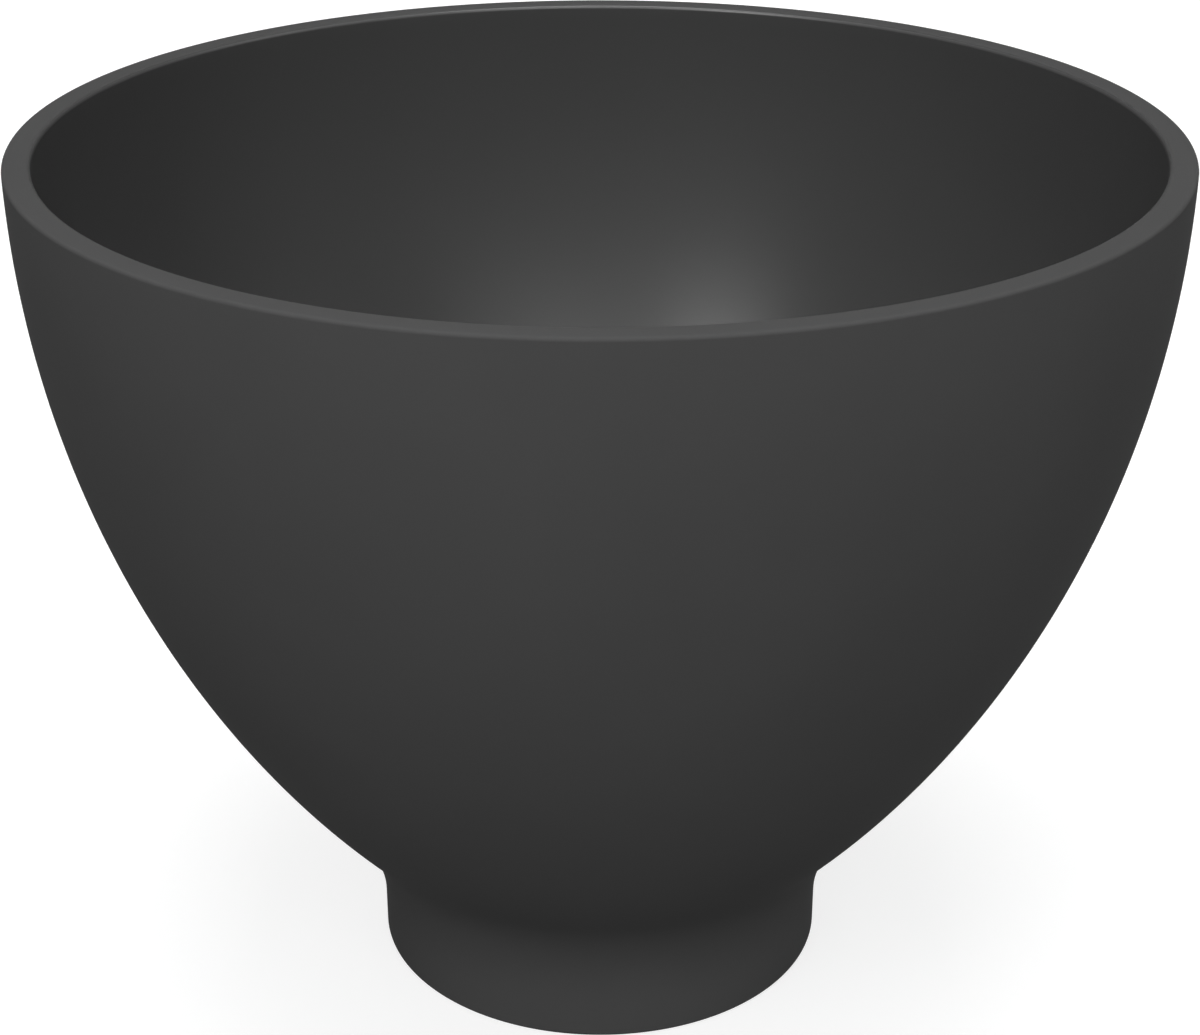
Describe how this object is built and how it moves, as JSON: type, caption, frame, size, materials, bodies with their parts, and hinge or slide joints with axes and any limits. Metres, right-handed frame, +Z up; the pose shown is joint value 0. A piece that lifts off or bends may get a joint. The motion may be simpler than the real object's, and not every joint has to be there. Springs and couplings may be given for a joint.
{
  "type": "silicone mixing cup",
  "caption": "Flexible silicone mixing cup: a deep round bowl with a flat rim that runs through a hollow curve into a short round foot, moulded in one piece.",
  "frame": {"origin": "centre of the foot's resting face, on the cup's axis", "axes": "+Z up along the cup's axis, from foot to rim; the cup is round, and -Y is the side that the picture sees"},
  "size_m": [0.15, 0.15, 0.1178],
  "materials": {
    "silicone": "moulded silicone, dark grey, matt outside and polished inside"
  },
  "bodies": {
    "root": {"cup": "silicone"}
  },
  "joints": []
}
